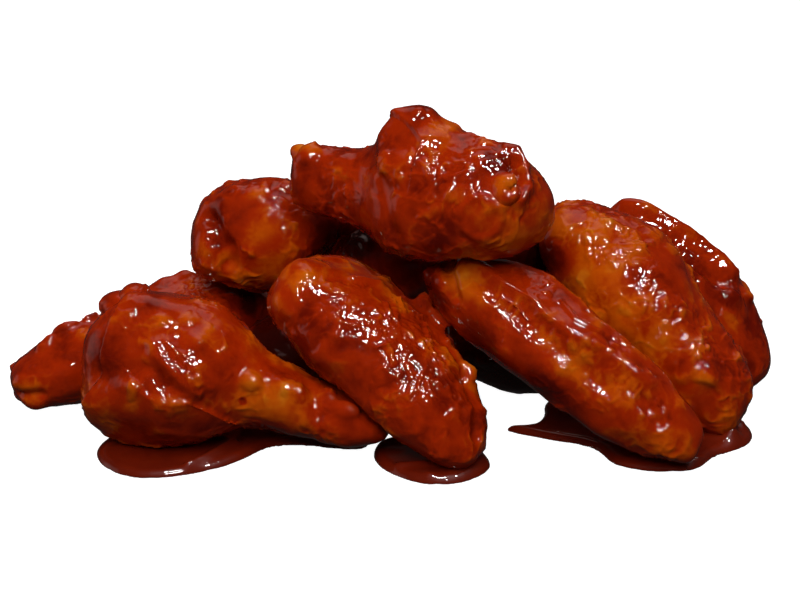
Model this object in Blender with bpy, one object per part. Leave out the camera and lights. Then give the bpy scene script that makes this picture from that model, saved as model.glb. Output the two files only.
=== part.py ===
"""A serving of sauced chicken wings, heaped on a flat surface with pools of sauce under them.

Drumettes are clubs, thick at the meaty end and thin at the knuckle. Flats are long ovals with a
bone along each edge. Each wing is a sphere drawn out along its own line, and formulas shape it.
Neighbours are then pressed against each other until they only just touch, as soft meat does.

X runs to the right of the heap, Y to its back and Z up. The origin is on the surface that the
heap lies on, under the middle of its box. Driving sizes are in millimetres.
"""

from collections import namedtuple
from math import atan2, cos, degrees, exp, radians, sin

import bmesh
import bpy
from mathutils import Matrix, Vector
from mathutils.bvhtree import BVHTree

MM = 0.001

# How finely each wing is faceted: points round it, and rings from end to end.
AROUND = 18
RINGS = 18

# The knuckle at a drumette's thin end swells by this share of its size.
KNUCKLE_SWELL = 0.22
KNUCKLE_AT = 0.93
KNUCKLE_REACH = 0.07

# The meat of a flat bulges nearer its thick end, and sinks between its two bones.
BELLY_SWELL = 0.10
BELLY_AT = 0.42
BELLY_REACH = 0.25
GROOVE_DEPTH = 0.12
GROOVE_AT = 0.60
GROOVE_REACH = 0.28
GROOVE_ARC = 28

# How blunt the ends are: 2 is round, and more is blunter.
CLUB_BLUNTNESS = 2.3
OVAL_BLUNTNESS = 2.8

# Space left where two wings touch, and how often the place of the touch is halved to find it.
CONTACT_GAP = 1.4
PRESS_STEPS = 10

FLOOR = 0.0
POOL_DEPTH = 1.8
POOL_EDGE = 0.6
POOL_GAP = 0.3
POOL_STEPS = 4
POOL_TOP = POOL_DEPTH + POOL_GAP

SAUCE_RED = (0.30, 0.030, 0.004, 1.0)
POOL_RED = (0.16, 0.010, 0.003, 1.0)
WET = 0.18

# head and tail are the middles of the two rounded ends. head_size and tail_size are the half width
# and half height there. neck is where a drumette's meat starts and stops thinning, as shares of
# its length. roll turns the piece about its own line, arch lifts its middle, and base is the
# height that it stands at. Each lump is a share of the length, degrees round from the side, a
# height and a reach.
Wing = namedtuple("Wing", "name kind head tail head_size tail_size neck roll arch base lumps")

LONG_NECK = (0.22, 0.74)
SHARP_NECK = (0.34, 0.56)
SHORT_NECK = (0.54, 0.68)

WINGS = (
    Wing("front_left_drumette", "drumette", (-73, -16, 26), (-14, -28, 14), (26, 26), (13, 12),
         SHARP_NECK, 0, 0, POOL_TOP, ((0.10, 120, 3, 8), (0.97, 40, 4, 8))),
    Wing("left_flat", "flat", (-62, 38, 19), (-112, 10, 12), (20, 19), (15, 14),
         None, 0, 1, FLOOR, ((0.45, 100, 2, 12), (0.75, 80, 2, 9))),
    Wing("left_upper_drumette", "drumette", (-47, 30, 54), (2, 46, 54), (21, 22), (11, 11),
         LONG_NECK, 0, 0, FLOOR, ((0.05, -60, 3, 8),)),
    Wing("top_drumette", "drumette", (23, -9, 77), (-23, 9, 79), (24, 22), (13, 14),
         SHORT_NECK, 0, 0, FLOOR, ((0.47, 90, 6, 9), (0.16, 92, 3, 8))),
    Wing("centre_flat", "flat", (-17, -12, 38), (13, -33, 14), (24, 17), (17, 13),
         None, 0, 2, POOL_TOP, ((0.03, 150, 4, 10), (0.10, 40, 2, 12), (0.52, 20, 4, 11))),
    Wing("front_right_flat", "flat", (22, -9, 50), (80, -36, 14), (16, 14), (14, 13),
         None, 40, 2, POOL_TOP, ()),
    Wing("right_flat", "flat", (61, 18, 51), (97, -8, 16), (20, 16), (17, 15),
         None, 0, 3, POOL_TOP, ((0.38, 65, 4, 14),)),
    Wing("right_back_flat", "flat", (79, 45, 45), (109, 27, 14), (16, 14), (16, 14),
         None, 0, 3, FLOOR, ((0.62, 55, 4, 16),)),
    Wing("middle_flat", "flat", (-10, 30, 46), (42, 28, 50), (18, 15), (15, 13),
         None, 0, 0, FLOOR, ()),
    Wing("core_drumette", "drumette", (-36, 20, 16), (16, 28, 12), (18, 17), (10, 10),
         LONG_NECK, 0, 0, FLOOR, ()),
    Wing("core_flat", "flat", (31, 25, 17), (72, 24, 15), (17, 16), (14, 13),
         None, 0, 0, POOL_TOP, ()),
    Wing("back_right_drumette", "drumette", (92, 64, 17), (38, 74, 11), (20, 19), (10, 10),
         LONG_NECK, 0, 0, FLOOR, ()),
    Wing("back_flat", "flat", (-44, 72, 16), (14, 68, 14), (20, 17), (16, 14),
         None, 0, 0, FLOOR, ()),
)

# Each pool is a name and the points that its edge runs through.
POOLS = (
    ("left_sauce_pool", ((-95, -24), (-89, -38), (-76, -44), (-58, -38), (-48, -29), (-41, -21),
                         (-30, -20), (-20, -22), (-11, -22), (-12, -12), (-30, -8), (-50, -2),
                         (-70, 2), (-88, -10))),
    ("centre_sauce_pool", ((-8, -30), (-3, -40), (8, -48), (20, -46), (28, -35), (22, -20),
                           (6, -14), (-6, -18))),
    ("right_sauce_pool", ((34, -8), (47, -15), (61, -22), (68, -36), (88, -39), (98, -28),
                          (110, -19), (112, -6), (100, 10), (80, 20), (62, 22), (49, 14), (47, 3),
                          (43, -5))),
)


def smooth_step(start, end, value):
    """0 before start, 1 after end, with a smooth rise between."""
    share = min(1.0, max(0.0, (value - start) / (end - start)))
    return share * share * (3 - 2 * share)


def hump(value, middle, reach):
    """1 at the middle, falling smoothly to 0 past the reach."""
    return exp(-(((value - middle) / reach) ** 2))


def rounded_ends(share, bluntness):
    """How wide a long rounded shape is at a share of its length."""
    return max(0.0, 1 - abs(1 - 2 * share) ** bluntness) ** (1 / bluntness)


def drumette_section(wing, share, _angle):
    """Half width and half height of the club at a share of its length."""
    head_width, head_height = wing.head_size
    tail_width, tail_height = wing.tail_size
    meat = 1 - smooth_step(*wing.neck, share)
    bone = 1 + KNUCKLE_SWELL * hump(share, KNUCKLE_AT, KNUCKLE_REACH)
    width = tail_width * bone + (head_width - tail_width) * meat
    height = tail_height * bone + (head_height - tail_height) * meat
    end = rounded_ends(share, CLUB_BLUNTNESS)
    return width * end, height * end


def flat_section(wing, share, angle):
    """Half width and half height of the oval at a share of its length, grooved above and below."""
    head_width, head_height = wing.head_size
    tail_width, tail_height = wing.tail_size
    taper = smooth_step(0, 1, share)
    belly = 1 + BELLY_SWELL * hump(share, BELLY_AT, BELLY_REACH)
    groove = 1 - GROOVE_DEPTH * hump(share, GROOVE_AT, GROOVE_REACH) * hump(abs(angle), 90, GROOVE_ARC)
    full = belly * rounded_ends(share, OVAL_BLUNTNESS)
    width = head_width + (tail_width - head_width) * taper
    height = head_height + (tail_height - head_height) * taper
    return width * full, height * full * groove


SECTIONS = {"drumette": drumette_section, "flat": flat_section}


def wing_frame(wing):
    """The piece's own axes, X from head to tail, Y to its side and Z up, its start and length."""
    head, tail = Vector(wing.head), Vector(wing.tail)
    along = (tail - head).normalized()
    side = Vector((0, 0, 1)).cross(along).normalized()
    axes = Matrix((along, side, along.cross(side))).transposed()
    start = head - along * max(wing.head_size)
    end = tail + along * max(wing.tail_size)
    return axes @ Matrix.Rotation(radians(wing.roll), 3, "X"), start, (end - start).length


def wing_bmesh(wing):
    """A sphere drawn out between the two ends, then swollen by its lumps."""
    bm = bmesh.new()
    bmesh.ops.create_uvsphere(bm, u_segments=AROUND, v_segments=RINGS, radius=1)
    axes, start, length = wing_frame(wing)
    section = SECTIONS[wing.kind]

    def centre_line(share):
        sag = wing.arch * 4 * share * (1 - share)
        return start + axes @ Vector((share * length, 0, sag))

    def surface(share, angle):
        width, height = section(wing, share, angle)
        turn = radians(angle)
        return centre_line(share) + axes @ Vector((0, width * cos(turn), height * sin(turn)))

    peaks = [(surface(share, angle), height, reach) for share, angle, height, reach in wing.lumps]
    for vert in bm.verts:
        share = (1 + vert.co.z) / 2
        point = surface(share, degrees(atan2(vert.co.y, vert.co.x)))
        outward = (point - centre_line(share)).normalized()
        swell = sum(height * hump((point - peak).length, 0, reach) for peak, height, reach in peaks)
        vert.co = point + outward * swell
    return bm


def free_shape(wing, bm):
    """What pressing needs to know of a piece before it is pressed: its spine and its surface."""
    return Vector(wing.head), Vector(wing.tail), BVHTree.FromBMesh(bm)


def spine_foot(shape, point):
    """The point of a piece's spine that is nearest to the given point."""
    head, tail, _ = shape
    line = tail - head
    share = (point - head).dot(line) / line.length_squared
    return head + line * min(1.0, max(0.0, share))


def clearance(shape, point):
    """How far outside a piece's free shape a point is, along the line from its spine."""
    _, _, surface = shape
    foot = spine_foot(shape, point)
    offset = point - foot
    hit, _, _, reach = surface.ray_cast(foot, offset.normalized())
    return offset.length - reach if hit else offset.length


def pressed_point(point, own, others):
    """The point, drawn back to its own spine until it is deeper in its own piece than in others."""
    foot = spine_foot(own, point)
    full = point - foot

    def is_free(share):
        here = foot + full * share
        own_clearance = (share - 1) * full.length
        return all(own_clearance <= clearance(other, here) - CONTACT_GAP for other in others)

    if is_free(1.0):
        return point
    low, high = 0.0, 1.0
    for _ in range(PRESS_STEPS):
        middle = (low + high) / 2
        if is_free(middle):
            low = middle
        else:
            high = middle
    return foot + full * low


def press_together(pieces):
    """Draws neighbours back from each other, and flattens each piece where it stands."""
    shapes = [free_shape(wing, bm) for wing, bm in zip(WINGS, pieces)]
    for wing, bm, own in zip(WINGS, pieces, shapes):
        others = [shape for shape in shapes if shape is not own]
        for vert in bm.verts:
            vert.co = pressed_point(vert.co, own, others)
            vert.co.z = max(vert.co.z, wing.base)


def pool_outline(points):
    """A closed smooth line through the points of a pool's edge."""
    count = len(points)
    outline = []
    for step in range(count * POOL_STEPS):
        before, part = divmod(step, POOL_STEPS)
        p0, p1, p2, p3 = (Vector(points[(before + k) % count]) for k in (-1, 0, 1, 2))
        t = part / POOL_STEPS
        curve = 2 * p1 + (p2 - p0) * t + (2 * p0 - 5 * p1 + 4 * p2 - p3) * t**2
        outline.append((curve + (3 * (p1 - p2) + p3 - p0) * t**3) / 2)
    return outline


def pool_bmesh(points):
    """A thin slab of sauce with a rounded upper edge."""
    bm = bmesh.new()
    bottom = bm.faces.new([bm.verts.new((*point, FLOOR)) for point in pool_outline(points)])
    raised = bmesh.ops.extrude_face_region(bm, geom=[bottom])
    top = [item for item in raised["geom"] if isinstance(item, bmesh.types.BMVert)]
    bmesh.ops.translate(bm, verts=top, vec=(0, 0, POOL_DEPTH))
    bmesh.ops.recalc_face_normals(bm, faces=bm.faces)
    rim = [edge for edge in bm.edges if all(vert.co.z > POOL_DEPTH / 2 for vert in edge.verts)]
    bmesh.ops.bevel(bm, geom=rim, offset=POOL_EDGE, segments=2, profile=0.5, affect="EDGES")
    return bm


def centre_on_origin(pieces):
    """Moves all the pieces alike, until the middle of their box is over the origin."""
    places = [vert.co for bm in pieces for vert in bm.verts]
    middle_x, middle_y = (
        (min(place[axis] for place in places) + max(place[axis] for place in places)) / 2
        for axis in (0, 1)
    )
    for bm in pieces:
        bmesh.ops.translate(bm, verts=bm.verts, vec=(-middle_x, -middle_y, 0))


def make_material(name, colour):
    material = bpy.data.materials.new(name)
    material.use_nodes = True
    shader = material.node_tree.nodes["Principled BSDF"]
    shader.inputs["Base Color"].default_value = colour
    shader.inputs["Roughness"].default_value = WET
    shader.inputs["Metallic"].default_value = 0.0
    return material


def add_piece(name, bm, material):
    """Scales the piece to metres and adds it to the scene."""
    bmesh.ops.scale(bm, vec=(MM, MM, MM), verts=bm.verts)
    mesh = bpy.data.meshes.new(name)
    bm.to_mesh(mesh)
    bm.free()
    mesh.materials.append(material)
    mesh.shade_smooth()
    piece = bpy.data.objects.new(name, mesh)
    bpy.context.scene.collection.objects.link(piece)


def main():
    for obj in list(bpy.data.objects):
        bpy.data.objects.remove(obj)
    glazed = make_material("glazed_crust", SAUCE_RED)
    sauce = make_material("sauce", POOL_RED)
    wings = [wing_bmesh(wing) for wing in WINGS]
    press_together(wings)
    pools = [pool_bmesh(points) for _, points in POOLS]
    centre_on_origin(wings + pools)
    for wing, bm in zip(WINGS, wings):
        add_piece(wing.name, bm, glazed)
    for (name, _), bm in zip(POOLS, pools):
        add_piece(name, bm, sauce)


main()
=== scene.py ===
"""The looks of a serving of sauced chicken wings: their crust, the glaze, the pools and the stage.

Each wing is grown from its solid in the frame, which is made smooth and fine and gets the knobs
and ridges of its crust. Crust and sauce are then two heights over that skin: the crust is lumpy
and creased, the sauce lies smooth in its hollows, and whichever is higher shows.

Lengths are in millimetres, apart from the metres that the mesh and Blender's own settings hold.
A place on a wing is a share of its length, from its left end to its right end, and an angle round
it: 0 degrees faces the front, 90 the top, 180 the back and -90 the underside.
"""

from collections import namedtuple
from itertools import product
from math import cos, pi, radians, sin

import bmesh
import bpy
import numpy as np
from mathutils import Matrix, Vector
from mathutils.bvhtree import BVHTree


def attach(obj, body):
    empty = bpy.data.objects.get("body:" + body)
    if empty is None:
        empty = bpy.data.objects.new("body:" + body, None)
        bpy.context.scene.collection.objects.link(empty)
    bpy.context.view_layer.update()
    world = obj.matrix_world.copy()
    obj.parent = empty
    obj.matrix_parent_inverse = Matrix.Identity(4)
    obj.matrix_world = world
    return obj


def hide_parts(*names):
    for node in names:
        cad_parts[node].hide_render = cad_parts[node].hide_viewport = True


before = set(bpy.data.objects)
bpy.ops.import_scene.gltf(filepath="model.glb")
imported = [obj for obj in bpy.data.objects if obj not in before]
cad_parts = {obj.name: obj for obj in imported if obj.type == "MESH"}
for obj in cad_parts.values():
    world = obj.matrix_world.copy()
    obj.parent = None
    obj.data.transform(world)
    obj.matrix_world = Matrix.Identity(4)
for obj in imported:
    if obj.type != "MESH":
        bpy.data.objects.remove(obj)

bl_info = {
    "name": "Sauced wings",
    "version": (1, 0, 0),
    "blender": (4, 5, 0),
    "location": "3D View > Sidebar > Wings",
    "description": "Grows the crust, glaze and sauce of a heap of chicken wings",
    "category": "Object",
}

MM = 0.001

# A bump is a round swelling, or a hollow where its height is negative. A ring is a raised circle.
# A ridge runs through several places, or is a groove. A fold is the edge of a layer of crust, which
# is raised on the left of the way it runs. A knob is a lump of crust that stands out far enough to
# have an outline of its own. A crinkle is a run of finely wrinkled skin, which catches the light.
# A stain is paler where its tone is positive and darker where it is negative. Most are stains of the
# crust's own colour; those on undersides and in the gaps of the heap are painted shade.
Bump = namedtuple("Bump", "share angle height reach")
Ring = namedtuple("Ring", "share angle height radius reach")
Ridge = namedtuple("Ridge", "places height reach")
Fold = namedtuple("Fold", "places height reach")
Knob = namedtuple("Knob", "share angle size lift turn", defaults=(0.0, 0.0))
Crinkle = namedtuple("Crinkle", "places height reach")
StainAndShade = namedtuple("StainAndShade", "share angle tone reach")
Wing = namedtuple("Wing", "node seed features tone rough fineness", defaults=((), 0.0, 1.0, 1.0))

TOP_DRUMETTE = (
    # The crest of batter on top of the meat, with a paler lump beside it.
    Bump(0.52, 86, 2.4, 5.0),
    Bump(0.46, 80, 1.6, 3.5),
    Fold(((0.44, 83), (0.52, 69), (0.56, 60), (0.56, 47)), 1.2, 5.0),
    StainAndShade(0.52, 85, -1.2, 4.5),
    StainAndShade(0.45, 85, 0.6, 3.0),
    # Swellings of the meat on the left, and the deep crease where the bone goes in.
    Bump(0.41, 72, 2.0, 6.0),
    Bump(0.62, 73, 1.4, 6.0),
    Bump(0.70, 85, 1.0, 2.5),
    Bump(0.45, 42, 1.3, 5.0),
    Bump(0.53, 39, 1.0, 3.5),
    Ridge(((0.37, 60), (0.44, 28), (0.48, 10), (0.52, -17)), -0.8, 2.4),
    StainAndShade(0.62, 73, 0.6, 6.0),
    StainAndShade(0.53, 39, 0.7, 4.0),
    # The round tab on the right, in the crease behind a raised rim, and the corner over it.
    Knob(0.88, 38, (4.4, 4.8, 3.0), -0.2, 20.0),
    Bump(0.85, 86, 1.6, 3.2),
    Ridge(((0.87, 86), (0.91, 77), (0.94, 54), (0.93, 30)), 1.6, 2.0),
    Ridge(((0.88, 67), (0.91, 54), (0.91, 36)), -1.8, 1.6),
    StainAndShade(0.88, 38, 0.9, 4.0),
    StainAndShade(0.84, 60, -0.8, 5.0),
    StainAndShade(0.93, 86, 0.7, 3.5),
    # A faint round fold low on the meat.
    Ring(0.82, 5, 0.5, 6.0, 1.2),
    StainAndShade(0.82, 5, 0.5, 8.0),
    StainAndShade(0.69, -20, -0.5, 8.0),
    # Painted shade on the underside of the meat.
    StainAndShade(0.50, -50, -1.6, 10.0),
    # The bone end, with a bead of batter and a pale lobe.
    Knob(0.06, 80, (3.4, 3.2, 2.6), -0.8),
    Knob(0.12, 64, (4.0, 5.0, 2.6), -1.2),
    Bump(0.24, 57, 0.7, 2.5),
    Bump(0.01, 5, -2.0, 7.0),
    Bump(0.29, 36, 0.6, 2.5),
    StainAndShade(0.06, 80, 1.6, 3.0),
    StainAndShade(0.12, 64, 1.1, 4.0),
    StainAndShade(0.25, -20, -0.8, 9.0),
    # Finely wrinkled patches of skin.
    Crinkle(((0.53, 88),), 0.8, 3.0),
    Crinkle(((0.55, 53), (0.62, 44), (0.68, 34)), 0.8, 3.0),
    Crinkle(((0.69, 59), (0.75, 47)), 0.7, 3.0),
    Crinkle(((0.70, 83),), 0.6, 2.0),
    Crinkle(((0.78, 59), (0.85, 64), (0.82, 79)), 1.0, 3.5),
    Crinkle(((0.78, 30), (0.83, 18)), 1.0, 3.0),
    Crinkle(((0.90, 13), (0.94, 7)), 1.0, 3.0),
    Crinkle(((0.93, 45), (0.96, 30)), 0.9, 3.5),
)
FRONT_LEFT_DRUMETTE = (
    # The flaky crest at the far left, and the edge of the layer that runs down from it.
    Knob(0.08, 88, (5.5, 5.0, 3.6), -0.6),
    Knob(0.12, 92, (3.6, 4.5, 3.4), 1.0),
    Bump(0.07, 20, 2.0, 9.0),
    Bump(0.12, -30, 3.0, 10.0),
    Bump(0.12, -55, 3.0, 9.0),
    Bump(0.22, -60, 2.0, 10.0),
    Fold(((0.13, 80), (0.12, 55), (0.12, 30), (0.13, 7), (0.11, -20)), 1.8, 6.0),
    StainAndShade(0.08, 85, -0.3, 5.0),
    StainAndShade(0.07, 10, -0.4, 9.0),
    # The smooth dome, and the crease between it and the lobe under it.
    Bump(0.19, 66, 2.0, 11.0),
    Ridge(((0.13, 2), (0.20, 14), (0.27, 20), (0.33, 10)), -1.3, 3.0),
    Bump(0.22, -12, 2.0, 9.0),
    StainAndShade(0.22, 48, 0.5, 7.0),
    StainAndShade(0.18, 85, -0.2, 6.0),
    StainAndShade(0.19, 66, -0.9, 7.0),
    StainAndShade(0.14, 15, -0.6, 5.0),
    StainAndShade(0.30, -25, -0.3, 12.0),
    # The lip of the lumpy swelling in the middle, and the flap of crust that hangs under it.
    Ridge(((0.26, 38), (0.28, 30), (0.33, 24), (0.37, 17), (0.42, 10)), 1.2, 2.6),
    Ridge(((0.30, 42), (0.35, 36), (0.40, 26), (0.45, 16)), 0.8, 2.5),
    Fold(((0.52, -22), (0.47, -7), (0.40, 3), (0.34, 1), (0.29, 2), (0.24, 8)), 1.2, 5.0),
    Bump(0.38, 51, 1.2, 3.0),
    StainAndShade(0.38, 51, 0.8, 3.0),
    StainAndShade(0.46, -2, 0.7, 4.5),
    StainAndShade(0.38, 0, 0.3, 5.0),
    StainAndShade(0.29, 12, -0.5, 5.0),
    StainAndShade(0.47, 42, -0.3, 5.0),
    # Lumps along the shaft, a small pit and the swollen knuckle.
    Knob(0.545, 33, (5.0, 3.2, 2.5), -0.9),
    Knob(0.66, 42, (5.5, 3.5, 2.5), -1.4),
    Bump(0.71, 38, 1.2, 2.5),
    Bump(0.55, 7, -0.5, 0.8),
    Knob(0.79, 58, (3.0, 3.0, 2.5), -0.4),
    Knob(0.85, 36, (5.5, 3.5, 2.5), -0.8),
    Ridge(((0.73, 60), (0.76, 35), (0.78, 12)), -1.3, 2.0),
    StainAndShade(0.545, 33, 0.9, 4.0),
    StainAndShade(0.66, 42, 0.8, 4.5),
    StainAndShade(0.55, 7, -2.5, 0.9),
    StainAndShade(0.60, 5, 0.6, 7.0),
    StainAndShade(0.70, 5, 0.5, 8.0),
    StainAndShade(0.85, 36, 0.5, 4.0),
    StainAndShade(0.60, 80, -0.4, 8.0),
    StainAndShade(0.78, 5, -0.3, 5.0),
    # Finely wrinkled patches of skin.
    Crinkle(((0.21, 52), (0.22, 38)), 0.9, 3.0),
    Crinkle(((0.29, 36), (0.34, 34), (0.37, 28), (0.39, 21)), 1.1, 3.0),
    Crinkle(((0.42, 17), (0.45, 5)), 1.1, 4.0),
    Crinkle(((0.50, -8),), 0.9, 2.5),
    Crinkle(((0.21, -22),), 0.9, 4.0),
    Crinkle(((0.50, 33),), 0.9, 2.5),
    Crinkle(((0.60, 26),), 0.7, 2.5),
    Crinkle(((0.66, 39), (0.71, 38)), 1.0, 3.0),
    Crinkle(((0.79, 62),), 0.8, 2.5),
    Crinkle(((0.78, 19),), 1.0, 2.5),
)
LEFT_FLAT = (
    # The split tip.
    Bump(0.02, 35, 1.5, 4.0),
    Bump(0.04, -35, 1.5, 4.0),
    Ridge(((0.01, 0), (0.06, -5)), -1.2, 1.5),
    StainAndShade(0.03, 10, 1.0, 7.0),
    # Flaky lumps along the top.
    Knob(0.14, 95, (4.0, 3.0, 2.2), -1.0),
    Knob(0.24, 98, (5.0, 3.2, 2.4), -1.2),
    Knob(0.33, 100, (4.5, 3.2, 2.5), -1.2),
    Ridge(((0.16, 95), (0.25, 95), (0.34, 100)), 1.2, 2.0),
    Bump(0.62, 100, 1.5, 4.0),
    Bump(0.70, 100, 2.0, 4.0),
    StainAndShade(0.68, 90, 0.8, 9.0),
    # Painted shade where the wing shows in a gap of the heap.
    StainAndShade(0.86, 35, -2.2, 6.0),
    # Finely wrinkled patches of skin.
    Crinkle(((0.25, 90), (0.36, 100)), 0.8, 4.0),
    Crinkle(((0.63, 90),), 1.0, 2.5),
    Crinkle(((0.70, 65), (0.70, 80)), 1.0, 4.0),
)
LEFT_UPPER_DRUMETTE = (
    # A lobe on the left that a deep crease parts from the rest.
    Ridge(((0.05, 66), (0.06, 47), (0.07, 20), (0.09, 3), (0.10, -21)), -2.2, 2.4),
    Bump(0.05, 66, -1.2, 3.0),
    Bump(0.02, -60, 3.0, 8.0),
    Bump(0.03, 10, 1.2, 5.0),
    Bump(0.15, 70, 1.2, 5.0),
    Bump(0.04, -25, 0.8, 2.0),
    Bump(0.07, -30, 0.8, 2.0),
    Bump(0.17, -2, 0.8, 2.5),
    StainAndShade(0.08, 10, -0.9, 3.5),
    StainAndShade(0.06, 50, -0.5, 3.5),
    StainAndShade(0.24, 20, 0.6, 9.0),
    StainAndShade(0.04, -10, 0.4, 4.0),
    # Painted shade low on the middle, where it goes into a gap of the heap.
    StainAndShade(0.49, -13, -1.8, 9.0),
    # Finely wrinkled patches of skin.
    Crinkle(((0.05, 22), (0.07, 14)), 1.0, 2.5),
    Crinkle(((0.09, -24), (0.03, -22)), 0.9, 2.5),
    Crinkle(((0.14, 4), (0.18, -5)), 0.9, 2.5),
    Crinkle(((0.32, 23),), 0.7, 2.0),
)
CENTRE_FLAT = (
    # Lobes at the upper end.
    Bump(0.07, 44, 2.0, 6.0),
    Bump(0.12, 11, 2.0, 4.5),
    Ridge(((0.21, 86), (0.28, 110)), 0.9, 1.6),
    StainAndShade(0.12, 37, 0.4, 8.0),
    StainAndShade(0.26, 11, -0.5, 9.0),
    # Painted shade low on the flank, where it goes into a gap of the heap.
    StainAndShade(0.29, -11, -1.2, 7.0),
    # A ring of batter and a curled flap on the right edge.
    Knob(0.42, 138, (3.8, 3.8, 3.2), 0.6),
    Ring(0.42, 138, 0.5, 2.0, 0.9),
    Knob(0.50, 142, (5.0, 3.0, 2.5), 0.5),
    Ridge(((0.47, 124), (0.49, 140), (0.55, 140), (0.60, 130)), 0.8, 1.3),
    Bump(0.65, 130, 0.9, 2.0),
    Bump(0.70, 135, 0.9, 2.0),
    StainAndShade(0.42, 138, 0.9, 3.0),
    StainAndShade(0.50, 140, 0.9, 3.0),
    StainAndShade(0.62, 135, 0.6, 3.0),
    # Sharp wrinkles that run down the skin.
    Ridge(((0.37, 89), (0.43, 73)), 0.6, 0.8),
    Ridge(((0.37, 103), (0.44, 84)), 0.6, 0.8),
    Ridge(((0.37, 115), (0.43, 102)), 0.6, 0.8),
    Ridge(((0.41, 62), (0.46, 54)), 0.5, 0.8),
    Ridge(((0.50, 120), (0.57, 103)), 0.7, 0.8),
    Ridge(((0.49, 43), (0.51, 60)), 0.5, 0.8),
    StainAndShade(0.44, 56, 0.6, 5.0),
    StainAndShade(0.39, 106, 0.7, 4.0),
    StainAndShade(0.55, 87, 0.5, 4.0),
    StainAndShade(0.55, 15, -0.3, 9.0),
    # A tooth of batter, and the strip of skin that hangs down beside the meat.
    Knob(0.74, 134, (2.6, 2.2, 2.6), -0.4),
    Bump(0.88, 108, 1.5, 5.0),
    Ridge(((0.74, 120), (0.85, 108), (0.94, 80)), -1.2, 2.0),
    StainAndShade(0.74, 138, 0.9, 2.5),
    StainAndShade(0.89, 130, -0.6, 6.0),
    StainAndShade(0.90, 0, -0.6, 8.0),
    # Finely wrinkled patches of skin.
    Crinkle(((0.12, 30), (0.20, 60), (0.27, 90)), 0.6, 3.0),
    Crinkle(((0.42, 60), (0.43, 78), (0.47, 92), (0.54, 78), (0.57, 84)), 1.0, 5.0),
    Crinkle(((0.50, 118), (0.59, 99), (0.64, 90), (0.71, 112)), 1.0, 4.0),
    Crinkle(((0.68, 76), (0.74, 76), (0.80, 80), (0.85, 69)), 1.0, 3.5),
    Crinkle(((0.58, 14), (0.63, 13)), 0.8, 3.0),
    Crinkle(((0.52, 52), (0.59, 47), (0.66, 50)), 1.0, 4.5),
    Crinkle(((0.80, 52), (0.86, 20)), 0.6, 3.0),
    Crinkle(((0.94, 102),), 0.7, 3.0),
)
FRONT_RIGHT_FLAT = (
    # The pale upper end and the red lobe beside it.
    Bump(0.10, 53, 1.2, 4.5),
    Bump(0.08, 0, 1.5, 4.5),
    Ridge(((0.06, 45), (0.11, 20), (0.15, 2)), -1.6, 1.6),
    StainAndShade(0.12, 38, 0.9, 8.0),
    StainAndShade(0.08, 0, -0.4, 4.0),
    # The long ridge over the upper bone, the hollow under it and the wrinkles beside it.
    Ridge(((0.12, 58), (0.25, 58), (0.34, 58), (0.41, 52), (0.50, 54), (0.59, 63), (0.69, 66),
           (0.76, 66)), 1.4, 2.8),
    Ridge(((0.16, 41), (0.26, 40), (0.36, 37), (0.47, 30), (0.59, 27), (0.66, 27)), -1.1, 3.0),
    Ridge(((0.26, 40), (0.32, 40), (0.37, 36)), 0.8, 1.2),
    Ridge(((0.41, 81), (0.48, 70), (0.53, 74), (0.56, 80)), 0.6, 0.8),
    StainAndShade(0.25, 58, 0.5, 4.0),
    StainAndShade(0.41, 52, 0.4, 4.0),
    StainAndShade(0.56, 60, 0.3, 4.0),
    StainAndShade(0.54, 14, 0.45, 10.0),
    StainAndShade(0.33, 10, 0.3, 9.0),
    # Painted shade along the underside.
    StainAndShade(0.08, -30, -1.8, 6.0),
    StainAndShade(0.28, -24, -1.6, 7.0),
    StainAndShade(0.53, -26, -1.4, 7.0),
    # Lumps at the lower end.
    Bump(0.72, 58, 1.2, 5.0),
    Bump(0.87, 91, 0.9, 3.5),
    Ridge(((0.78, 44), (0.85, 30)), -1.2, 1.8),
    StainAndShade(0.72, 58, 0.6, 5.0),
    StainAndShade(0.87, 91, 0.6, 4.0),
    StainAndShade(0.98, 17, 0.5, 6.0),
    # Finely wrinkled patches of skin.
    Crinkle(((0.12, 44), (0.21, 55)), 0.8, 3.5),
    Crinkle(((0.25, 84),), 0.8, 3.5),
    Crinkle(((0.24, 37), (0.34, 36)), 0.9, 3.5),
    Crinkle(((0.34, 75), (0.35, 95)), 0.8, 3.5),
    Crinkle(((0.42, 43), (0.49, 40)), 0.8, 4.0),
    Crinkle(((0.52, 38), (0.55, 48), (0.58, 66), (0.62, 84)), 1.1, 4.0),
    Crinkle(((0.62, 33), (0.70, 44)), 0.9, 3.0),
    Crinkle(((0.69, 67), (0.75, 86)), 0.9, 3.0),
    Crinkle(((0.75, 41), (0.80, 46), (0.86, 47), (0.80, 32)), 1.1, 4.0),
)
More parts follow.
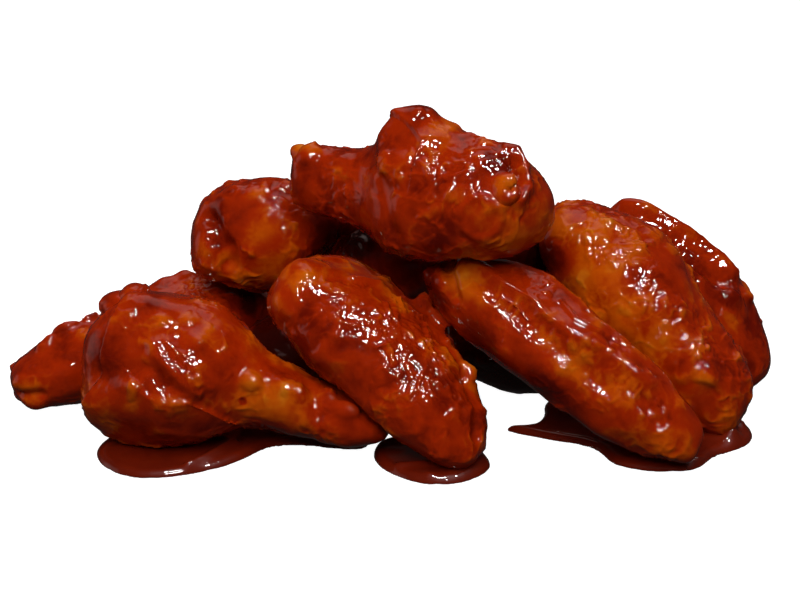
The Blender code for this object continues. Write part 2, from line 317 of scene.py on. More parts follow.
RIGHT_FLAT = (
    # Arched wrinkles across the upper end.
    Ridge(((0.19, 70), (0.24, 80)), 0.4, 1.2),
    Ridge(((0.29, 60), (0.33, 78), (0.35, 95)), 0.5, 1.2),
    Ridge(((0.30, 52), (0.36, 78)), 0.4, 1.1),
    Ridge(((0.20, 40), (0.26, 26)), 0.4, 1.2),
    Ridge(((0.22, 44), (0.28, 30)), 0.3, 1.0),
    Ridge(((0.29, 42), (0.34, 40)), 0.4, 1.1),
    # Nubs in the middle.
    Bump(0.50, 37, 0.8, 2.5),
    Bump(0.55, 50, 0.8, 3.0),
    Bump(0.58, 66, 0.8, 3.0),
    Bump(0.62, 80, 0.6, 2.5),
    Bump(0.80, 46, 0.9, 3.0),
    Bump(0.84, 40, 0.9, 2.5),
    # The flank is paler than the rest.
    StainAndShade(0.15, 25, 0.8, 9.0),
    # Painted shade where the flank goes into the gap on its left.
    StainAndShade(0.17, -6, -1.8, 6.0),
    StainAndShade(0.30, 20, 0.7, 9.0),
    StainAndShade(0.48, 30, 0.8, 6.0),
    StainAndShade(0.60, 20, 0.5, 8.0),
    StainAndShade(0.21, 73, 0.5, 7.0),
    StainAndShade(0.35, 90, 0.4, 7.0),
    StainAndShade(0.42, 50, -0.5, 5.0),
    StainAndShade(0.80, 60, -0.3, 8.0),
    # Finely wrinkled patches of skin.
    Crinkle(((0.20, 42), (0.28, 28)), 0.8, 3.0),
    Crinkle(((0.20, 74), (0.34, 84)), 0.7, 3.0),
    Crinkle(((0.50, 40), (0.56, 56), (0.62, 78)), 1.0, 4.0),
    Crinkle(((0.71, 76), (0.74, 50)), 1.0, 5.0),
    Crinkle(((0.82, 45),), 0.8, 3.0),
)
RIGHT_BACK_FLAT = (
    # The rolled ridge along the top and the hollow under it.
    Ridge(((0.06, 65), (0.15, 85), (0.28, 98), (0.38, 108), (0.50, 112), (0.57, 110)), 2.5, 3.5),
    Ridge(((0.30, 62), (0.42, 70), (0.52, 80), (0.58, 85)), -2.2, 3.0),
    StainAndShade(0.15, 85, 0.7, 5.0),
    StainAndShade(0.30, 98, 0.5, 5.0),
    StainAndShade(0.50, 112, 0.6, 5.0),
    StainAndShade(0.42, 65, -0.7, 5.0),
    # A pale knob at the shoulder.
    Knob(0.68, 112, (4.0, 3.5, 2.5), -1.0),
    Bump(0.66, 85, 1.5, 4.0),
    StainAndShade(0.68, 110, 1.0, 4.0),
    StainAndShade(0.74, 66, 0.6, 6.0),
    # Finely wrinkled patches of skin.
    Crinkle(((0.12, 69), (0.20, 95), (0.30, 100), (0.45, 110), (0.57, 110)), 0.6, 2.4),
    Crinkle(((0.59, 87), (0.64, 88), (0.65, 70)), 0.9, 3.5),
    Crinkle(((0.74, 75), (0.87, 100)), 0.6, 5.0),
)
# Painted shade: the wings in the gaps of the heap are painted darkest where they show.
MIDDLE_FLAT = (
    StainAndShade(0.15, 44, -2.0, 9.0),
    StainAndShade(0.89, -7, -2.0, 9.0),
    Crinkle(((0.15, 60),), 0.6, 3.0),
)
CORE_DRUMETTE = (StainAndShade(0.13, 60, -2.0, 14.0), StainAndShade(0.25, 20, -1.5, 12.0))
CORE_FLAT = (StainAndShade(0.28, -25, -2.0, 14.0),)

WINGS = (
    Wing("front_left_drumette", 11, FRONT_LEFT_DRUMETTE, tone=0.3, rough=0.75),
    Wing("left_flat", 23, LEFT_FLAT, tone=-0.2),
    Wing("left_upper_drumette", 31, LEFT_UPPER_DRUMETTE, tone=0.2),
    Wing("top_drumette", 43, TOP_DRUMETTE, tone=0.1),
    Wing("centre_flat", 57, CENTRE_FLAT, tone=0.2, rough=0.85),
    Wing("front_right_flat", 61, FRONT_RIGHT_FLAT, tone=0.1, rough=0.6),
    Wing("right_flat", 71, RIGHT_FLAT, tone=0.2),
    Wing("right_back_flat", 83, RIGHT_BACK_FLAT, rough=0.7),
    # Painted shade: the wings in the gaps of the heap are darker all over.
    Wing("middle_flat", 97, MIDDLE_FLAT, tone=-0.7, fineness=1.3),
    Wing("core_drumette", 101, CORE_DRUMETTE, tone=-0.9, fineness=1.8),
    Wing("core_flat", 113, CORE_FLAT, tone=-0.9, fineness=1.8),
    Wing("back_right_drumette", 127, fineness=1.3),
    Wing("back_flat", 139, fineness=1.3),
)
# A wave is a raised run of a pool's surface, or a crumb of crust where it has only one place. Its
# places are across to the right and back, in the frame's own axes.
Wave = namedtuple("Wave", "places height reach")
POOLS = {
    "left_sauce_pool": (
        Wave(((-51, -44), (-58, -55), (-63, -61)), 1.7, 1.5),
        Wave(((-63, -61), (-57, -61), (-51, -58)), 1.4, 1.4),
        Wave(((-88, -46), (-80, -50)), 0.5, 3.0),
    ),
    "centre_sauce_pool": (
        Wave(((0, -61), (7, -60), (14, -61)), 1.2, 1.5),
        Wave(((10, -68),), 1.0, 2.0),
    ),
    "right_sauce_pool": (
        Wave(((102, -34),), 3.5, 3.5),
        Wave(((106, -40),), 2.8, 2.8),
        Wave(((110, -33),), 2.2, 2.6),
        Wave(((107, -46),), 1.6, 2.2),
        Wave(((101, -50),), 1.4, 2.4),
        Wave(((94, -55), (99, -54)), 0.8, 1.6),
        Wave(((38, -31), (44, -34)), 0.6, 1.6),
    ),
}


# ---------------------------------------------------------------------------------------- heights

NOISE_DIRECTIONS = 509
NOISE_GAIN = 1.9
HASH = np.array((73856093, 19349663, 83492791))
FOLD_EDGE = 0.7
UPRIGHT = np.array((1.0, 1.0, 0.6))

# Each glow of the room: which way it lies, how wide it is (the cosine of its edge) and how bright.
GLOWS = (((0.10, 0.45, 0.90), 0.87, 1.1), ((-1.0, 0.10, 0.15), 0.86, 0.6))
DIMMEST = 0.03
ROOM_TINT = (1.0, 0.82, 0.77)

# Each key light: its place, its size and its power, in metres and watts.
KEYS = (
    ((0.40, -0.25, 0.72), (0.10, 0.07), 4.5),
    ((0.12, -0.30, 0.80), (0.09, 0.07), 3.6),
    ((0.24, -0.58, 0.62), (0.09, 0.06), 2.8),
)


def noise(places, size, seed):
    """Smooth random heights, mostly from -1 to 1, with swells of about the given size."""
    directions = np.random.default_rng(seed).normal(size=(NOISE_DIRECTIONS, 3))
    directions /= np.linalg.norm(directions, axis=1)[:, None]
    grid = places / size
    cell = np.floor(grid).astype(np.int64)
    inside = grid - cell
    fade = inside**3 * (inside * (6 * inside - 15) + 10)
    total = np.zeros(len(places))
    for corner in product((0, 1), repeat=3):
        corner = np.array(corner)
        weight = np.where(corner, fade, 1 - fade).prod(axis=1)
        key = np.bitwise_xor.reduce((cell + corner) * HASH, axis=1)
        direction = directions[(key ^ (key >> 15)) % NOISE_DIRECTIONS]
        total += weight * ((inside - corner) * direction).sum(axis=1)
    return NOISE_GAIN * total


def noise_vectors(places, size, seed):
    """Three independent noises, as a smooth random shift of each place."""
    return np.stack([noise(places, size, seed + axis) for axis in range(3)], axis=1)


def smooth_step(start, end, value):
    """0 before start, 1 after end, with a smooth rise between."""
    share = np.clip((value - start) / (end - start), 0, 1)
    return share * share * (3 - 2 * share)


def smooth_max(first, second, blend):
    """The larger of two heights, with the crease between them rounded over the blend."""
    return (first + second + np.sqrt((first - second) ** 2 + blend**2)) / 2


def rounded_creases(heights, softness):
    """The size of a height without its sign: round lumps that meet in narrow creases."""
    return np.sqrt(heights**2 + softness**2) - softness


# ------------------------------------------------------------------------------------------ wings


class Axes:
    """A wing's own axes: along it to the right, up over it and out to its front."""

    def __init__(self, places):
        self.middle = places.mean(axis=0)
        _, directions = np.linalg.eigh(np.cov((places - self.middle).T))
        along = directions[:, 2]
        self.along = along if along[0] > 0 else -along
        up = np.array((0, 0, 1)) - self.along * self.along[2]
        self.up = up / np.linalg.norm(up)
        self.front = np.cross(self.along, self.up)
        reach = (places - self.middle) @ self.along
        self.start, self.end = reach.min(), reach.max()

    def on_line(self, share):
        return self.middle + self.along * (self.start + share * (self.end - self.start))

    def outward(self, angle):
        return self.front * cos(radians(angle)) + self.up * sin(radians(angle))

    def share(self, places):
        return ((places - self.middle) @ self.along - self.start) / (self.end - self.start)


def skin_place(axes, skin, share, angle):
    """The place on the skin at a share of the length and an angle round it."""
    foot, outward = axes.on_line(share), axes.outward(angle)
    place, _, _, _ = skin.ray_cast(Vector(foot + outward * 80), Vector(-outward))
    if place is None:
        raise RuntimeError(f"nothing of the wing lies at {share} and {angle} degrees")
    return np.array(place)


def merged_copy(node):
    """The node's solid with its loose triangles merged, in millimetres."""
    bm = bmesh.new()
    bm.from_mesh(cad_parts[node].data)
    bmesh.ops.remove_doubles(bm, verts=bm.verts, dist=1e-6)
    bmesh.ops.join_triangles(bm, faces=bm.faces, angle_face_threshold=3, angle_shape_threshold=3)
    bmesh.ops.scale(bm, vec=(1 / MM, 1 / MM, 1 / MM), verts=bm.verts)
    return bm


def bmesh_places(bm):
    return np.array([vert.co for vert in bm.verts])


def of_kind(wing, kind):
    return [feature for feature in wing.features if isinstance(feature, kind)]


def add_knobs(bm, wing, axes, skin):
    """Grows egg-shaped lumps out of the skin, which the remesh then joins to it."""
    for knob in of_kind(wing, Knob):
        place = skin_place(axes, skin, knob.share, knob.angle)
        outward = axes.outward(knob.angle)
        around = np.cross(outward, axes.along)
        turned = Matrix((axes.along, around, outward)).transposed() @ Matrix.Rotation(
            radians(knob.turn), 3, "Z"
        )
        centre = Vector(place + outward * knob.lift)
        matrix = Matrix.Translation(centre) @ turned.to_4x4() @ Matrix.Diagonal((*knob.size, 1))
        bmesh.ops.create_icosphere(bm, subdivisions=3, radius=1, matrix=matrix)


def refined(bm, name, voxel, smoothing):
    """The shape subdivided, joined to one fine even skin and smoothed, as a mesh."""
    rough = bpy.data.meshes.new(name)
    bm.to_mesh(rough)
    bm.free()
    piece = bpy.data.objects.new(name, rough)
    bpy.context.scene.collection.objects.link(piece)
    subdivision = piece.modifiers.new("Subdivision", "SUBSURF")
    subdivision.levels = 2
    subdivision.render_levels = 2
    remesh = piece.modifiers.new("Remesh", "REMESH")
    remesh.mode = "VOXEL"
    remesh.voxel_size = voxel
    smooth = piece.modifiers.new("Smooth", "SMOOTH")
    smooth.factor = 0.5
    smooth.iterations = smoothing
    evaluated = piece.evaluated_get(bpy.context.evaluated_depsgraph_get())
    fine = bpy.data.meshes.new_from_object(evaluated)
    bpy.data.objects.remove(piece)
    bpy.data.meshes.remove(rough)
    fine.name = name
    return fine


def mesh_array(mesh, what):
    values = np.empty(len(mesh.vertices) * 3, np.float32)
    mesh.vertices.foreach_get(what, values)
    return values.reshape(-1, 3).astype(float)


def move_out(mesh, heights):
    """Moves each point of the mesh along its normal by its height."""
    places = mesh_array(mesh, "co") + mesh_array(mesh, "normal") * heights[:, None]
    mesh.vertices.foreach_set("co", places.astype(np.float32).ravel())
    mesh.update()


def away_from(places, points):
    """How far each place is from a run of points."""
    nearest = np.linalg.norm(places - points[0], axis=1)
    for start, end in zip(points, points[1:]):
        run = end - start
        share = np.clip((places - start) @ run / (run @ run), 0, 1)
        away = np.linalg.norm(places - start - share[:, None] * run, axis=1)
        nearest = np.minimum(nearest, away)
    return nearest


def beside_line(places, points, outward):
    """How far each place is from the line through the points, negative on the line's right."""
    nearest = np.full(len(places), np.inf)
    side = np.ones(len(places))
    for start, end in zip(points, points[1:]):
        run = end - start
        share = np.clip((places - start) @ run / (run @ run), 0, 1)
        away = places - start - share[:, None] * run
        distance = np.linalg.norm(away, axis=1)
        closer = distance < nearest
        side[closer] = np.sign(away[closer] @ np.cross(outward, run))
        nearest = np.minimum(nearest, distance)
    return nearest * side


def feature_heights(wing, axes, skin, places):
    """The wing's own bumps, rings, ridges and folds, as heights."""
    heights = np.zeros(len(places))
    for bump in of_kind(wing, Bump):
        away = np.linalg.norm(places - skin_place(axes, skin, bump.share, bump.angle), axis=1)
        heights += bump.height * np.exp(-((away / bump.reach) ** 2))
    for ring in of_kind(wing, Ring):
        away = np.linalg.norm(places - skin_place(axes, skin, ring.share, ring.angle), axis=1)
        heights += ring.height * np.exp(-(((away - ring.radius) / ring.reach) ** 2))
    for line in of_kind(wing, (Ridge, Fold)):
        points = [skin_place(axes, skin, share, angle) for share, angle in line.places]
        outward = axes.outward(np.mean([angle for _, angle in line.places]))
        beside = beside_line(places, points, outward)
        shape = np.exp(-((beside / line.reach) ** 2))
        if isinstance(line, Fold):
            shape = np.exp(-np.abs(beside) / line.reach) * smooth_step(-FOLD_EDGE, FOLD_EDGE, beside)
        heights += line.height * shape
    return heights


def tones(wing, axes, skin, places):
    """How pale the crust is from place to place, with the painted shade of the dark marks on
    undersides and in the gaps of the heap: about -1 is darkest and 1 is palest.
    """
    tone = wing.tone + 0.4 * noise(places, 26, wing.seed + 30)
    tone += 0.42 * noise(places, 10, wing.seed + 31)
    for stain_and_shade in of_kind(wing, StainAndShade):
        away = np.linalg.norm(places - skin_place(axes, skin, stain_and_shade.share, stain_and_shade.angle), axis=1)
        tone += stain_and_shade.tone * np.exp(-((away / stain_and_shade.reach) ** 2))
    return tone


def crust_heights(places, seed, look):
    """The swells of the meat, and the lumps, creases and wrinkles of the crust on it."""
    bent = places + look.bend * noise_vectors(places, 11, seed)
    swells = look.swell * noise(bent, 19, seed + 3)
    lumpy = smooth_step(-0.5, 0.5, noise(places, 21, seed + 4))
    lumps = look.lump * 2 * rounded_creases(noise(bent, 9.5, seed + 5), 0.2)
    bent = places + 1.1 * noise_vectors(places, 5, seed + 7)
    nubs = look.nub * smooth_step(0.15, 0.75, noise(bent, 6.5, seed + 12))
    grains = 0.45 * look.nub * smooth_step(0.1, 0.7, noise(bent, 3.1, seed + 13))
    creased = smooth_step(-0.3, 0.4, noise(places, 14, seed + 6))
    veins = look.wrinkle * np.exp(-((noise(bent, 6.5, seed + 10) / 0.16) ** 2))
    veins += 0.6 * look.wrinkle * np.exp(-((noise(bent, 3.6, seed + 14) / 0.2) ** 2))
    pimples = 0.25 * look.wrinkle * noise(bent, 1.5, seed + 11)
    crust = (0.3 + 0.7 * lumpy) * (lumps + nubs) + (0.2 + 0.8 * creased) * (veins + grains + pimples)
    return swells, crust


def crinkles(wing, axes, skin, places, look):
    """Fine upright wrinkles: how strong they are from place to place, and their heights."""
    strength = 0.2 * smooth_step(0.0, 0.6, noise(places, 12, wing.seed + 17))
    for crinkle in of_kind(wing, Crinkle):
        points = [skin_place(axes, skin, share, angle) for share, angle in crinkle.places]
        patch = crinkle.height * np.exp(-((away_from(places, points) / crinkle.reach) ** 2))
        strength = np.maximum(strength, patch)
    bent = places + 1.0 * noise_vectors(places, 4, wing.seed + 8)
    bent = bent * UPRIGHT
    wrinkles = rounded_creases(noise(bent, 2.9, wing.seed + 9), 0.1)
    wrinkles += 0.4 * rounded_creases(noise(bent, 1.7, wing.seed + 16), 0.1)
    return strength, look.crinkle * strength * (wrinkles - 0.3)


def set_values(mesh, name, values):
    attribute = mesh.attributes.new(name, "FLOAT", "POINT")
    attribute.data.foreach_set("value", values.astype(np.float32))


def grow_wing(wing, look, material):
    """One wing: its solid refined, then raised by its features, its crust and its sauce."""
    bm = merged_copy(wing.node)
    axes = Axes(bmesh_places(bm))
    add_knobs(bm, wing, axes, BVHTree.FromBMesh(bm))
    voxel = look.voxel * wing.fineness * 1
    mesh = refined(bm, wing.node + "_crust", voxel, 16)

    places = mesh_array(mesh, "co")
    polygons = [tuple(polygon.vertices) for polygon in mesh.polygons]
    skin = BVHTree.FromPolygons(places.tolist(), polygons)
    move_out(mesh, look.relief * feature_heights(wing, axes, skin, places))

    places = mesh_array(mesh, "co")
    set_values(mesh, "tone", tones(wing, axes, skin, places))
    swells, crust = crust_heights(places, wing.seed, look)
    crust *= wing.rough
    level = look.sauce + 0.35 * noise(places, 15, wing.seed + 20)
    height = smooth_max(crust, level, look.blend)
    strength, wrinkles = crinkles(wing, axes, skin, places, look)
    move_out(mesh, swells + height - look.sink + wrinkles)
    places = mesh_array(mesh, "co")
    places[:, 2] = np.maximum(places[:, 2], 0.1)
    mesh.vertices.foreach_set("co", (places * MM).astype(np.float32).ravel())
    mesh.update()

    set_values(mesh, "crinkle", strength)
    set_values(mesh, "sauce", np.clip((height - crust) / 1.0, 0, 1))
    raised = (height - look.sauce) / 1.2 + look.mottle * wrinkles
    set_values(mesh, "crust", np.clip(raised, -0.8, 1.2))
    mesh.shade_smooth()
    mesh.materials.clear()
    mesh.materials.append(material)
    piece = bpy.data.objects.new(mesh.name, mesh)
    bpy.context.scene.collection.objects.link(piece)
    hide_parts(wing.node)
    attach(piece, "root")
    return piece


# ------------------------------------------------------------------------------------------ pools


def outline_distance(places, node):
    """How far inside the pool's outline each place is, seen from above."""
    bm = merged_copy(node)
    edges = [
        edge
        for edge in bm.edges
        if len(edge.link_faces) == 2
        and min(face.normal.z for face in edge.link_faces) < -0.9
        and max(face.normal.z for face in edge.link_faces) > -0.5
    ]
    nearest = np.full(len(places), np.inf)
    flat = places[:, :2]
    for edge in edges:
        start, end = (np.array(vert.co)[:2] for vert in edge.verts)
        run = end - start
        share = np.clip((flat - start) @ run / (run @ run), 0, 1)
        nearest = np.minimum(nearest, np.linalg.norm(flat - start - share[:, None] * run, axis=1))
    bm.free()
    return nearest


def grow_pool(node, waves, look, wings, material):
    """One pool: a bead of sauce with a rounded edge, which climbs a little up the wings in it."""
    bm = merged_copy(node)
    voxel = look.voxel * 1
    mesh = refined(bm, node + "_surface", voxel, 4)
    places = mesh_array(mesh, "co")
    inside = outline_distance(places, node)
    edge = np.clip(inside / look.edge, 0, 1)
    bead = look.depth * np.sqrt(1 - (1 - edge) ** 2)
    gap = np.array([min(wing.find_nearest(Vector(place))[3] for wing in wings) for place in places])
    climb = look.climb * np.exp(-gap / look.climb_reach) * edge
    ripple = 0.12 * noise(places, 9, 5) * edge
    top = bead + climb + ripple
    flat = places * (1, 1, 0)
    for wave in waves:
        away = away_from(flat, [np.array((*place, 0)) for place in wave.places])
        top += wave.height * np.exp(-((away / wave.reach) ** 2)) * edge
    share = np.clip(places[:, 2] / max(places[:, 2].max(), 1e-6), 0, 1)
    places[:, 2] = 0.05 + share * top
    mesh.vertices.foreach_set("co", (places * MM).astype(np.float32).ravel())
    mesh.update()
    mesh.shade_smooth()
    mesh.materials.clear()
    mesh.materials.append(material)
    piece = bpy.data.objects.new(mesh.name, mesh)
    bpy.context.scene.collection.objects.link(piece)
    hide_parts(node)
    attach(piece, "root")
    return piece


# -------------------------------------------------------------------------------------- materials


class Value:
    """A number at a shader socket. Arithmetic on it adds Math nodes."""

    def __init__(self, finish, socket):
        self.finish = finish
        self.socket = socket

    def _math(self, operation, first, second):
        node = self.finish.node("ShaderNodeMath", {"operation": operation}, {0: first, 1: second})
        return Value(self.finish, node.outputs[0])

    def __add__(self, other):
        return self._math("ADD", self, other)

    def __radd__(self, other):
        return self._math("ADD", other, self)

    def __sub__(self, other):
        return self._math("SUBTRACT", self, other)

    def __rsub__(self, other):
        return self._math("SUBTRACT", other, self)

    def __mul__(self, other):
        return self._math("MULTIPLY", self, other)

    def __rmul__(self, other):
        return self._math("MULTIPLY", other, self)


class Finish:
    """One material under construction."""

    def __init__(self, name):
        self.material = bpy.data.materials.new(name)
        self.material.use_nodes = True
        self.tree = self.material.node_tree
        self.shader = self.tree.nodes["Principled BSDF"]

    def put(self, socket, value):
        """Sets a socket to a number or colour, or links another socket to it."""
        if isinstance(value, Value):
            value = value.socket
        if isinstance(value, bpy.types.NodeSocket):
            self.tree.links.new(value, socket)
        else:
            socket.default_value = value

    def node(self, kind, settings=None, inputs=None):
        """Adds a node, with its settings first and then the values or links of its sockets."""
        node = self.tree.nodes.new(kind)
        for name, value in (settings or {}).items():
            setattr(node, name, value)
        for name, value in (inputs or {}).items():
            self.put(node.inputs[name], value)
        return node

    def value(self, kind, settings=None, inputs=None, output=0):
        return Value(self, self.node(kind, settings, inputs).outputs[output])

    def attribute(self, name):
        return self.value("ShaderNodeAttribute", {"attribute_name": name}, output="Fac")

    def noise(self, size, detail=2.0, roughness=0.5, distortion=0.0):
        """A noise from 0 to 1 whose swells are about the given size in millimetres."""
        where = self.node("ShaderNodeTexCoord").outputs["Object"]
        settings = {"Vector": where, "Scale": 1 / (size * MM), "Detail": detail}
        settings |= {"Roughness": roughness, "Distortion": distortion}
        return self.value("ShaderNodeTexNoise", None, settings)

    def step(self, value, start, end):
        """0 below start, 1 above end and a smooth rise between."""
        settings = {"interpolation_type": "SMOOTHSTEP"}
        inputs = {"Value": value, "From Min": start, "From Max": end}
        return self.value("ShaderNodeMapRange", settings, inputs, output="Result")

    def mix(self, share, first, second):
        """A colour between two others."""
        node = self.node("ShaderNodeMix", {"data_type": "RGBA"}, {0: share, 6: first, 7: second})
        return node.outputs[2]

    def set(self, **values):
        """Puts values on the shader's own sockets, whose names are given with underscores."""
        for name, value in values.items():
            self.put(self.shader.inputs[name.replace("_", " ")], value)

    def bump(self, height, depth, strength=1.0):
        """Feeds the shader's normal from heights of 0 to 1 that stand for a depth in millimetres."""
        inputs = {"Height": height, "Distance": depth * MM, "Strength": strength}
        self.put(self.shader.inputs["Normal"], self.node("ShaderNodeBump", None, inputs).outputs[0])


def crust_material(look):
    """Glazed crust: amber where the sauce is thin, red where it covers, dark where it is deep, and
    near black as painted shade where the tone is lowest.
    """
    finish = Finish("glazed_crust")
    tone = finish.attribute("tone") + 0.8 * finish.attribute("crust")
    tone = tone - 1.1 * finish.attribute("sauce")
    tone = tone + 0.9 * (finish.noise(5, detail=3) - 0.5) + 0.4 * (finish.noise(1.5) - 0.5)
    # The lowest tones take the painted shade colour, which the dark marks on undersides and in the
    # gaps of the heap reach.
    colour = finish.mix(finish.step(tone, -2.2, -1.1), (*look.shade, 1), (*look.deep, 1))
    colour = finish.mix(finish.step(tone, -0.9, 0.25), colour, (*look.glaze, 1))
    colour = finish.mix(finish.step(tone, 0.1, 1.0), colour, (*look.amber, 1))
    colour = finish.mix(finish.step(tone, 0.9, 1.8), colour, (*look.pale, 1))
    finish.set(Base_Color=colour, Roughness=0.45, Metallic=0.0, Coat_Weight=1.0)
    finish.set(Coat_Roughness=0.04, Coat_IOR=1.38, Specular_IOR_Level=0.0)
    finish.set(Subsurface_Weight=0.05, Subsurface_Scale=0.002)
    finish.set(Subsurface_Radius=(1.0, 0.2, 0.05))
    finish.bump(finish.noise(1.0, detail=2) * (0.15 + 0.85 * finish.attribute("crinkle")), 0.16)
    return finish.material


def sauce_material(look):
    """Deep wet sauce."""
    finish = Finish("sauce")
    broad = finish.noise(12, detail=2)
    colour = finish.mix(broad, (*look.pool_dark, 1), (*look.pool_light, 1))
    finish.set(Base_Color=colour, Roughness=0.4, Coat_Weight=1.0, Coat_Roughness=0.03)
    finish.set(Coat_IOR=1.38, Specular_IOR_Level=0.08)
    finish.bump(finish.noise(5, detail=2), 0.05)
    return finish.material


def stage_material(look):
    finish = Finish("pale_floor")
    finish.set(Base_Color=(*look.floor, 1), Roughness=0.9, Specular_IOR_Level=0.1)
    finish.set(Emission_Color=(1, 1, 1, 1), Emission_Strength=look.glow)
    return finish.material


# ---------------------------------------------------------------------------------------- add-on


def length_property(name, default, description):
    return bpy.props.FloatProperty(name=name, default=default, description=description)


def colour_property(name, default, description):
    return bpy.props.FloatVectorProperty(
        name=name, default=default, description=description, subtype="COLOR", size=3, min=0, max=1
    )


class WingLook(bpy.types.PropertyGroup):
    """The shape and colours of the crust and its glaze. Lengths are in millimetres."""

    voxel: length_property("Fineness", 0.46, "Size of the smallest facet")
    swell: length_property("Swell", 1.6, "Height of the broad swells of the meat")
    relief: bpy.props.FloatProperty(
        name="Relief", default=1.35, description="How far the wings' own bumps and folds stand out"
    )
    bend: length_property("Bend", 3.0, "How far the lumps are pulled out of round")
    lump: length_property("Lump", 0.75, "Height of the lumps of crust")
    nub: length_property("Nub", 0.85, "Height of the separate nubs of batter")
    wrinkle: length_property("Wrinkle", 0.42, "Height of the fine wrinkles")
    crinkle: length_property("Crinkle", 0.8, "Height of the wrinkles of crinkled skin")
    mottle: bpy.props.FloatProperty(
        name="Mottle", default=1.6, description="How much paler the wrinkles are than their creases"
    )
    sauce: length_property("Sauce", 0.30, "Level of the sauce over the creases")
    blend: length_property("Blend", 0.25, "How round the sauce's edge is")
    sink: length_property("Sink", 0.8, "How far the crust starts below the solid's face")
    # Painted shade: the near-black colour where the tone is lowest, which the dark marks on
    # undersides and on the wings in the gaps of the heap reach.
    shade: colour_property("Shade", (0.030, 0.0015, 0.0005), "Sauce pooled in the gaps")
    deep: colour_property("Deep", (0.14, 0.005, 0.0005), "Sauce where it is deep")
    glaze: colour_property("Glaze", (0.37, 0.020, 0.0005), "Sauce over crust")
    amber: colour_property("Amber", (0.54, 0.078, 0.0008), "Crust under thin sauce")
    pale: colour_property("Pale", (0.62, 0.155, 0.0055), "Crust with hardly any sauce")


class PoolLook(bpy.types.PropertyGroup):
    """The shape and colours of the pools. Lengths are in millimetres."""

    voxel: length_property("Fineness", 0.45, "Size of the smallest facet")
    depth: length_property("Depth", 2.4, "Depth of the sauce")
    edge: length_property("Edge", 3.0, "Width of the rounded edge")
    climb: length_property("Climb", 2.5, "How far the sauce climbs up a wing")
    climb_reach: length_property("Climb reach", 1.8, "How far from a wing the climb starts")
    pool_dark: colour_property("Dark", (0.09, 0.005, 0.0010), "Sauce where it is deepest")
    pool_light: colour_property("Light", (0.20, 0.013, 0.0015), "Sauce where it is shallow")


class StageLook(bpy.types.PropertyGroup):
    """The floor, the lights and the camera."""

    floor: colour_property("Floor", (0.50, 0.50, 0.50), "Colour of the floor")
    glow: bpy.props.FloatProperty(
        name="Glow", default=1.0, description="Light of the floor's own, which softens shadows"
    )
    target: bpy.props.FloatVectorProperty(
        name="Target", default=(0.0013, -0.0214, 0.042), subtype="XYZ", unit="LENGTH",
        description="What the camera looks at",
    )
    distance: bpy.props.FloatProperty(
        name="Distance", default=0.60, unit="LENGTH", description="From the camera to its target"
    )
    elevation: bpy.props.FloatProperty(
        name="Elevation", default=radians(20), subtype="ANGLE", description="Height of the camera"
    )


class WINGS_OT_crust(bpy.types.Operator):
    """Grows every wing's crust and glaze from its solid"""

    bl_idname = "wings.crust"
    bl_label = "Wings"

    def execute(self, context):
        look = context.scene.wing_look
        material = crust_material(look)
        for wing in WINGS:
            grow_wing(wing, look, material)
        return {"FINISHED"}


class WINGS_OT_pools(bpy.types.Operator):
    """Makes the pools of sauce, which climb up the wings that lie in them"""

    bl_idname = "wings.pools"
    bl_label = "Pools"

    def execute(self, context):
        look = context.scene.pool_look
        material = sauce_material(look)
        trees = []
        for wing in WINGS:
            bm = bmesh.new()
            bm.from_mesh(bpy.data.objects[wing.node + "_crust"].data)
            bmesh.ops.scale(bm, vec=(1 / MM, 1 / MM, 1 / MM), verts=bm.verts)
            trees.append(BVHTree.FromBMesh(bm))
            bm.free()
        for node, waves in POOLS.items():
            grow_pool(node, waves, look, trees, material)
        return {"FINISHED"}


def add_area_light(name, place, target, size, power, colour=(1, 1, 1)):
    """A soft rectangular light at a place, in metres, that faces the target."""
    light = bpy.data.lights.new(name, "AREA")
    light.shape = "RECTANGLE"
    light.size, light.size_y = size
    light.energy = power
    light.color = colour
    lamp = bpy.data.objects.new(name, light)
    lamp.location = place
    lamp.rotation_euler = (Vector(target) - Vector(place)).to_track_quat("-Z", "Y").to_euler()
    bpy.context.scene.collection.objects.link(lamp)
    return lamp


def light_world(tree):
    """Fills the room with a dim light that is brighter towards its soft glows."""
    where = tree.nodes.new("ShaderNodeTexCoord").outputs["Generated"]
    brightness = DIMMEST
    for direction, edge, power in GLOWS:
        towards = tree.nodes.new("ShaderNodeVectorMath")
        towards.operation = "DOT_PRODUCT"
        towards.inputs[1].default_value = Vector(direction).normalized()
        tree.links.new(where, towards.inputs[0])
        fade = tree.nodes.new("ShaderNodeMapRange")
        fade.interpolation_type = "SMOOTHSTEP"
        fade.inputs["From Min"].default_value = edge
        fade.inputs["To Max"].default_value = power
        tree.links.new(towards.outputs["Value"], fade.inputs["Value"])
        total = tree.nodes.new("ShaderNodeMath")
        tree.links.new(fade.outputs["Result"], total.inputs[0])
        if isinstance(brightness, float):
            total.inputs[1].default_value = brightness
        else:
            tree.links.new(brightness, total.inputs[1])
        brightness = total.outputs[0]
    tree.nodes["Background"].inputs["Color"].default_value = (*ROOM_TINT, 1)
    tree.links.new(brightness, tree.nodes["Background"].inputs["Strength"])


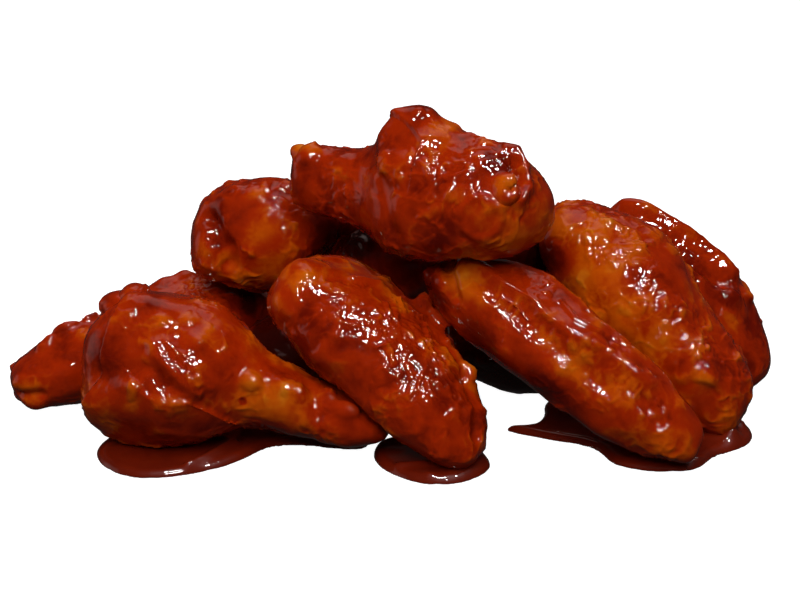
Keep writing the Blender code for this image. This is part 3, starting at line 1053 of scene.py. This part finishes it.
class WINGS_OT_stage(bpy.types.Operator):
    """Adds the pale floor, the soft studio light and the camera"""

    bl_idname = "wings.stage"
    bl_label = "Stage"

    def execute(self, context):
        look = context.scene.stage_look
        target = Vector(look.target)

        bm = bmesh.new()
        bmesh.ops.create_grid(bm, x_segments=1, y_segments=1, size=4)
        mesh = bpy.data.meshes.new("floor")
        bm.to_mesh(mesh)
        bm.free()
        mesh.materials.append(stage_material(look))
        floor = bpy.data.objects.new("floor", mesh)
        context.scene.collection.objects.link(floor)
        floor.visible_glossy = False
        floor.visible_diffuse = False

        camera_data = bpy.data.cameras.new("camera")
        camera_data.lens = 85
        camera_data.clip_start = 0.01
        camera = bpy.data.objects.new("camera", camera_data)
        back = Vector((0, -cos(look.elevation), sin(look.elevation)))
        camera.location = target + back * look.distance
        camera.rotation_euler = (pi / 2 - look.elevation, 0, 0)
        context.scene.collection.objects.link(camera)
        context.scene.camera = camera

        for number, (place, size, power) in enumerate(KEYS):
            key = add_area_light(f"key_{number}", place, target, size, power)
            key.visible_diffuse = False
        fill = add_area_light("fill", (-0.05, -0.66, 0.85), target, (0.8, 0.8), 9.8)
        fill.visible_glossy = False
        back_fill = add_area_light("back_fill", (0.25, 0.80, 0.75), target, (0.9, 0.9), 1.3)
        back_fill.visible_glossy = False

        world = bpy.data.worlds.new("room")
        world.use_nodes = True
        light_world(world.node_tree)
        context.scene.world = world
        context.scene.view_settings.view_transform = "Standard"
        return {"FINISHED"}


class WINGS_PT_panel(bpy.types.Panel):
    """Lists the steps that make the serving"""

    bl_idname = "WINGS_PT_panel"
    bl_label = "Sauced wings"
    bl_space_type = "VIEW_3D"
    bl_region_type = "UI"
    bl_category = "Wings"

    def draw(self, context):
        for group, operator in (
            ("wing_look", WINGS_OT_crust),
            ("pool_look", WINGS_OT_pools),
            ("stage_look", WINGS_OT_stage),
        ):
            box = self.layout.box()
            settings = getattr(context.scene, group)
            for name in settings.bl_rna.properties.keys():
                if name not in {"rna_type", "name"}:
                    box.prop(settings, name)
            box.operator(operator.bl_idname)


LOOKS = {"wing_look": WingLook, "pool_look": PoolLook, "stage_look": StageLook}
CLASSES = (*LOOKS.values(), WINGS_OT_crust, WINGS_OT_pools, WINGS_OT_stage, WINGS_PT_panel)


def register():
    for cls in CLASSES:
        bpy.utils.register_class(cls)
    for name, look in LOOKS.items():
        setattr(bpy.types.Scene, name, bpy.props.PointerProperty(type=look))


def unregister():
    for name in LOOKS:
        delattr(bpy.types.Scene, name)
    for cls in reversed(CLASSES):
        bpy.utils.unregister_class(cls)


def main():
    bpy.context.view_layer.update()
    register()
    bpy.ops.wings.crust()
    bpy.ops.wings.pools()
    bpy.ops.wings.stage()


if __name__ == "__main__":
    main()
